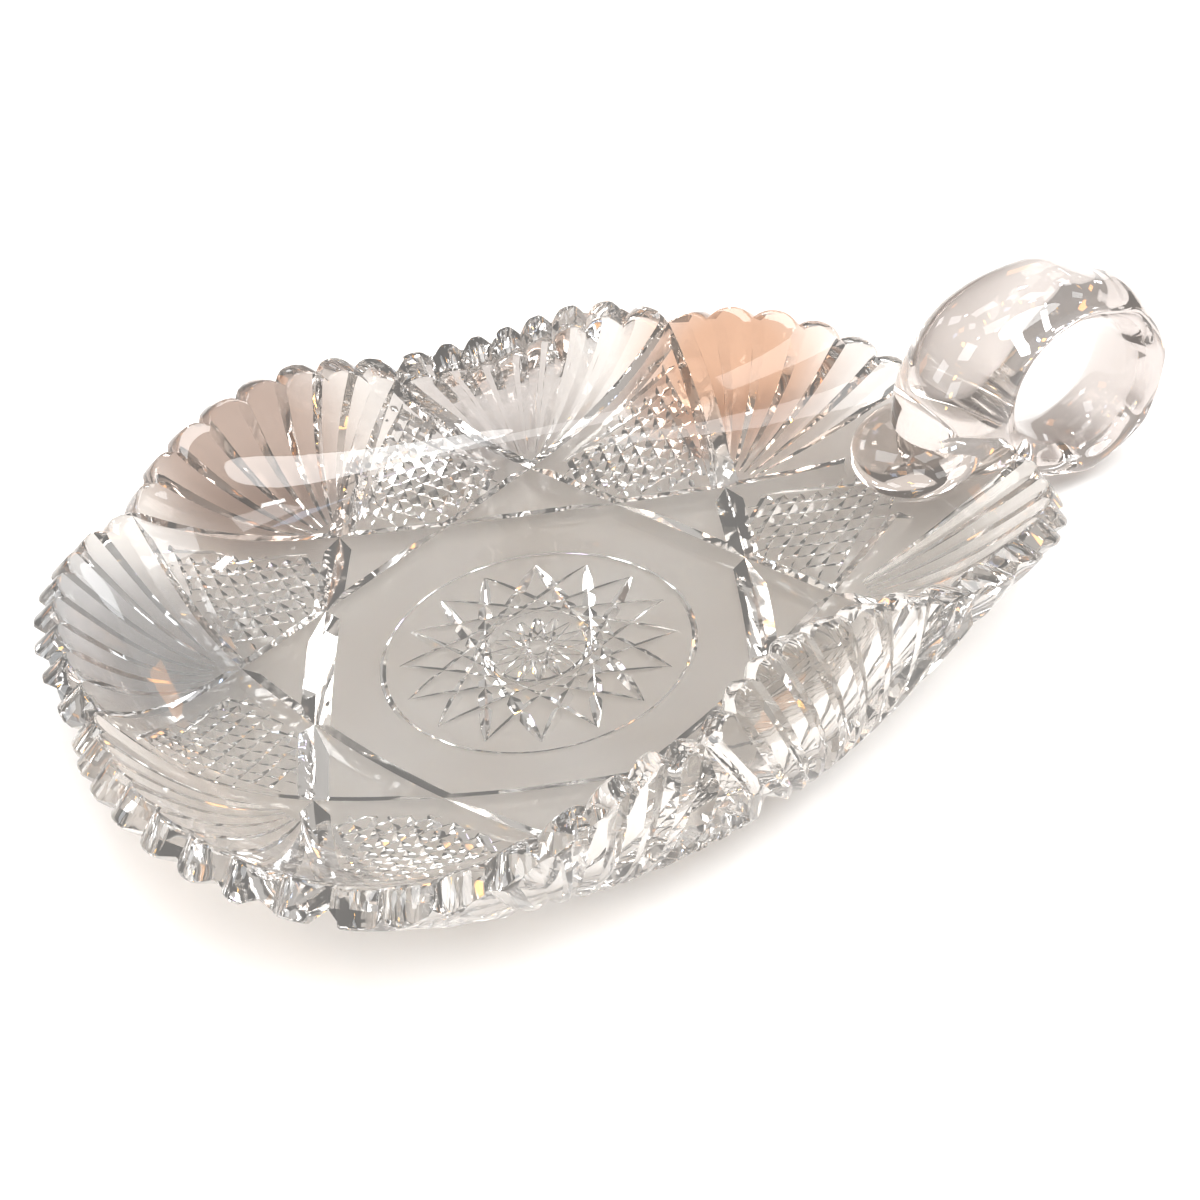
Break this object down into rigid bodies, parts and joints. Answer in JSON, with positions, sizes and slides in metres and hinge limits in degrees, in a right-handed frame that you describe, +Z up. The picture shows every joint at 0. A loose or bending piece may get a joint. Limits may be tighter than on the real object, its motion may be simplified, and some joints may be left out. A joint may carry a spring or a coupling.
{
  "type": "candy dish",
  "caption": "Shallow cut-glass candy dish with a scalloped, toothed rim turned up at the sides, star and fan cuts on the outside, and one ring handle set over the rim.",
  "frame": {"origin": "centre of the flat base that the dish stands on", "axes": "+Z up out of the bowl, +X from the centre of the base towards the ring handle"},
  "size_m": [0.1836, 0.1318, 0.0385],
  "materials": {
    "bowl_glass": "polished clear crystal, cut on the outside",
    "handle_glass": "fire-polished clear crystal"
  },
  "bodies": {
    "root": {"bowl": "bowl_glass", "ring_handle": "handle_glass"}
  },
  "joints": []
}
